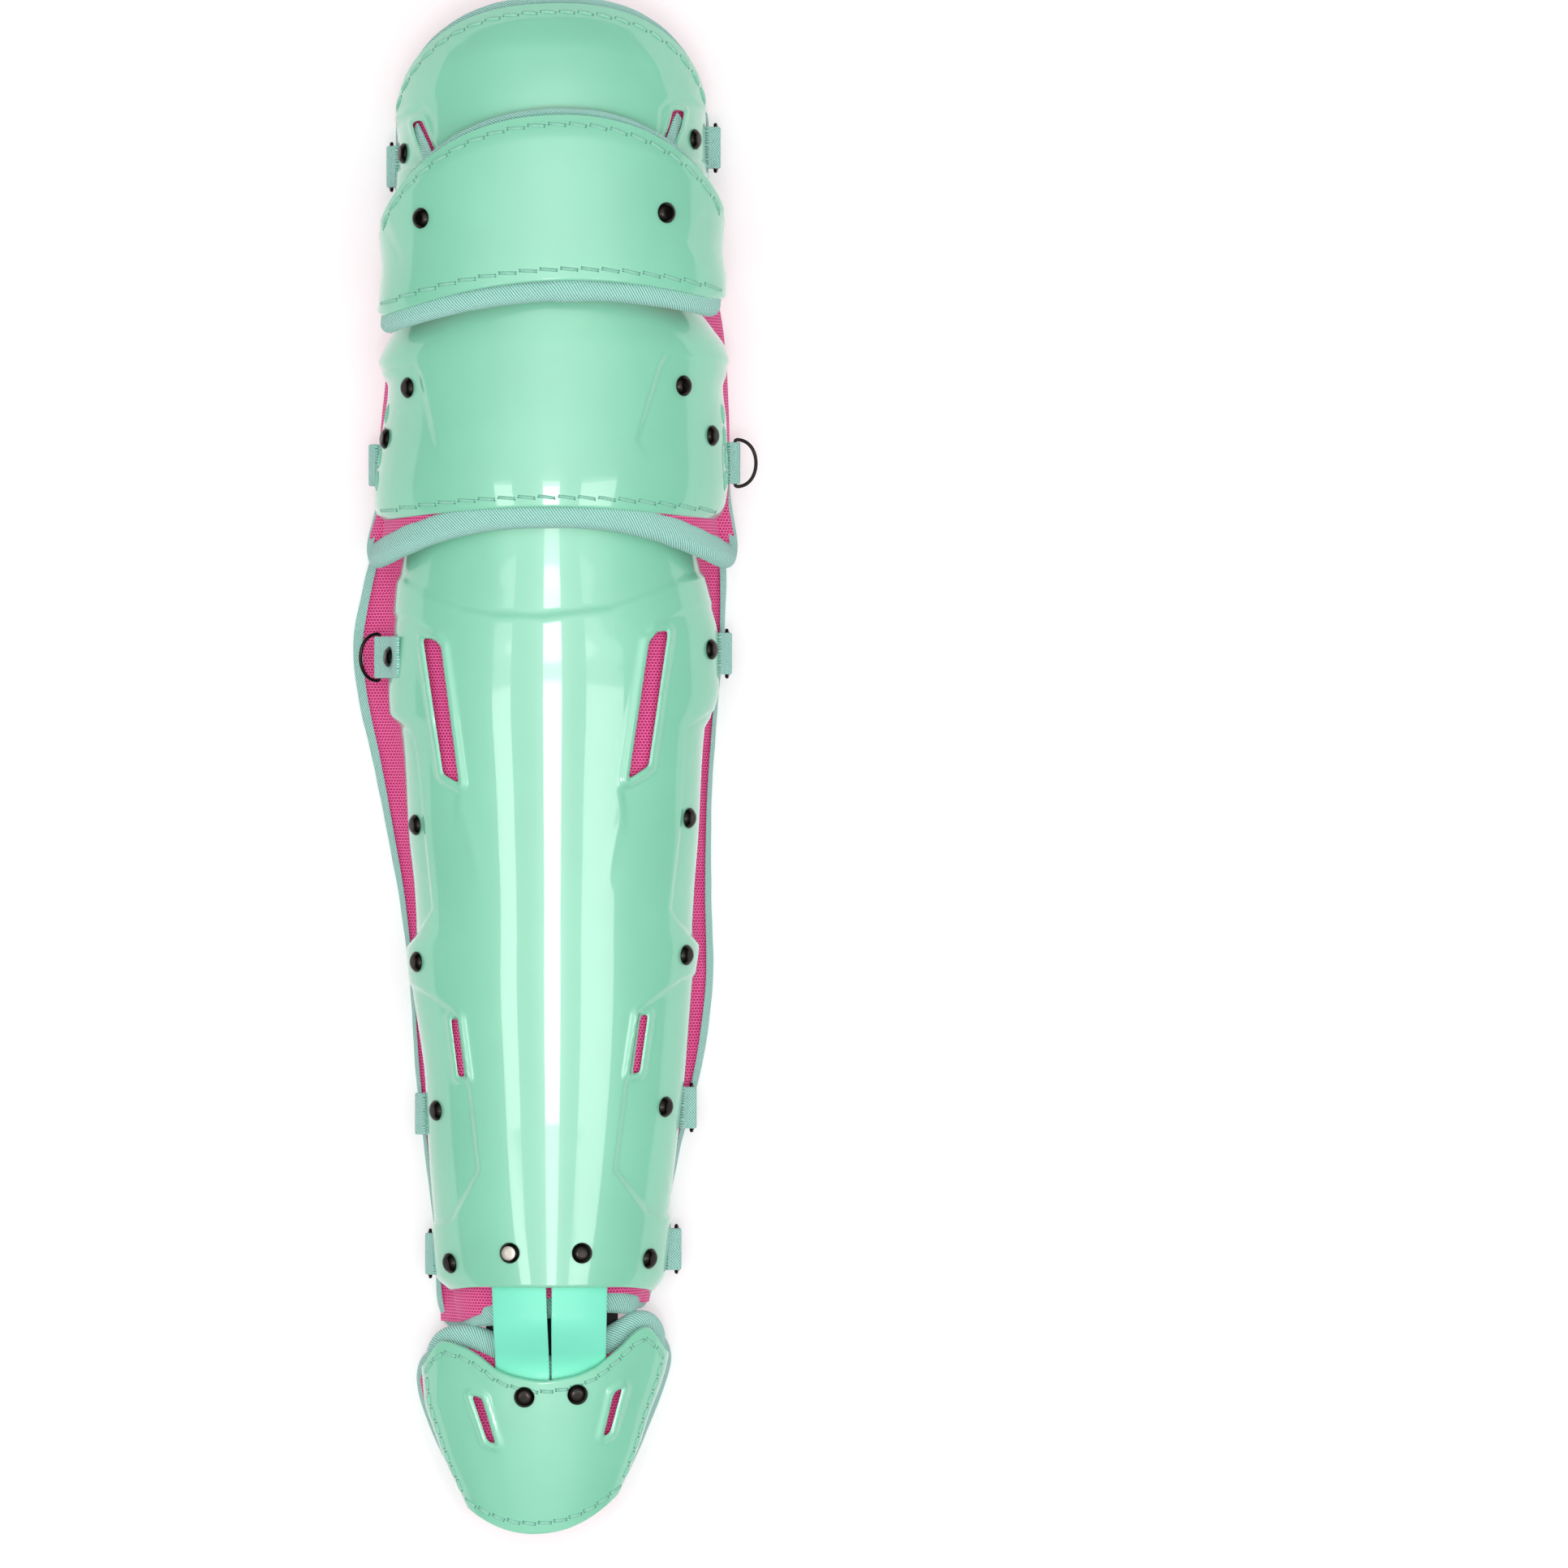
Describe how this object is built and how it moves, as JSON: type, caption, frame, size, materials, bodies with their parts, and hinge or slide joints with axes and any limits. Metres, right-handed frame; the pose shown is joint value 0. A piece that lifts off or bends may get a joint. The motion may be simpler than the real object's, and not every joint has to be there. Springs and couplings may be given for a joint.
{
  "type": "catcher leg guard",
  "caption": "Catcher's leg guard with thigh, knee, shin and toe shells over mesh pads, twill bindings, rivets, webbing loops and D-rings.",
  "frame": {"origin": "centre of the bounding box, on the surface that the guard lies on", "axes": "+Y from the toe cap towards the thigh cap, +Z out of the guard's front, +X to the right as its front is seen with the thigh cap up"},
  "size_m": [0.1774, 0.6794, 0.1026],
  "materials": {
    "shell": "glossy",
    "air_mesh": "matte",
    "twill": "matte",
    "tab": "satin",
    "dark_metal": "glossy",
    "worn_metal": "satin",
    "lining": "matte"
  },
  "bodies": {
    "guard": {"ankle_lining": "lining", "flex_tab_1": "tab", "flex_tab_2": "tab", "knee_binding": "twill", "knee_cap": "shell", "knee_pad": "air_mesh", "link_strap_1": "twill", "link_strap_2": "twill", "loop_1": "twill", "loop_10": "twill", "loop_2": "twill", "loop_3": "twill", "loop_4": "twill", "loop_5": "twill", "loop_6": "twill", "loop_7": "twill", "loop_8": "twill", "loop_9": "twill", "lower_binding": "twill", "lower_cap": "shell", "lower_pad": "air_mesh", "rivet_knee_cap_1": "dark_metal", "rivet_knee_cap_2": "dark_metal", "rivet_lower_cap_1": "dark_metal", "rivet_lower_cap_2": "dark_metal", "rivet_lower_cap_3": "dark_metal", "rivet_lower_cap_4": "dark_metal", "rivet_shin_plate_1": "dark_metal", "rivet_shin_plate_10": "dark_metal", "rivet_shin_plate_11": "worn_metal", "rivet_shin_plate_12": "dark_metal", "rivet_shin_plate_2": "dark_metal", "rivet_shin_plate_3": "dark_metal", "rivet_shin_plate_4": "dark_metal", "rivet_shin_plate_5": "dark_metal", "rivet_shin_plate_6": "dark_metal", "rivet_shin_plate_7": "dark_metal", "rivet_shin_plate_8": "dark_metal", "rivet_shin_plate_9": "dark_metal", "rivet_thigh_cap_1": "dark_metal", "rivet_thigh_cap_2": "dark_metal", "rivet_toe_cap_1": "dark_metal", "rivet_toe_cap_2": "dark_metal", "shin_binding": "twill", "shin_pad": "air_mesh", "shin_plate": "shell", "thigh_binding": "twill", "thigh_cap": "shell", "thigh_pad": "air_mesh", "toe_binding": "twill", "toe_cap": "shell", "toe_pad": "air_mesh"},
    "ring_1_body": {"ring_1": "dark_metal"},
    "ring_2_body": {"ring_2": "dark_metal"},
    "ring_4_body": {"ring_4": "dark_metal"},
    "ring_5_body": {"ring_5": "dark_metal"},
    "ring_6_body": {"ring_6": "dark_metal"},
    "ring_8_body": {"ring_8": "dark_metal"},
    "ring_9_body": {"ring_9": "dark_metal"},
    "ring_10_body": {"ring_10": "dark_metal"}
  },
  "joints": [
    {"name": "ring_1_swing", "type": "hinge", "parent": "guard", "child": "ring_1_body", "pos_m": [-0.0737, 0.26647, 0.02213], "axis": [0, -1, 0], "range_deg": [-80, 3]},
    {"name": "ring_2_swing", "type": "hinge", "parent": "guard", "child": "ring_2_body", "pos_m": [0.06993, 0.27493, 0.02233], "axis": [0, 1, 0], "range_deg": [-80, 3]},
    {"name": "ring_4_swing", "type": "hinge", "parent": "guard", "child": "ring_4_body", "pos_m": [0.0787, 0.13489, 0.0233], "axis": [0, 1, 0], "range_deg": [-60, 72]},
    {"name": "ring_5_swing", "type": "hinge", "parent": "guard", "child": "ring_5_body", "pos_m": [-0.07919, 0.04864, 0.0218], "axis": [0, -1, 0], "range_deg": [-65, 22]},
    {"name": "ring_6_swing", "type": "hinge", "parent": "guard", "child": "ring_6_body", "pos_m": [0.075, 0.05033, 0.02038], "axis": [0, 1, 0], "range_deg": [-80, 3]},
    {"name": "ring_8_swing", "type": "hinge", "parent": "guard", "child": "ring_8_body", "pos_m": [0.05928, -0.15135, 0.01836], "axis": [0, 1, 0], "range_deg": [-80, 2]},
    {"name": "ring_9_swing", "type": "hinge", "parent": "guard", "child": "ring_9_body", "pos_m": [-0.0566, -0.21632, 0.01751], "axis": [0, -1, 0], "range_deg": [-80, 3]},
    {"name": "ring_10_swing", "type": "hinge", "parent": "guard", "child": "ring_10_body", "pos_m": [0.05253, -0.21429, 0.01739], "axis": [0, 1, 0], "range_deg": [-80, 3]}
  ]
}
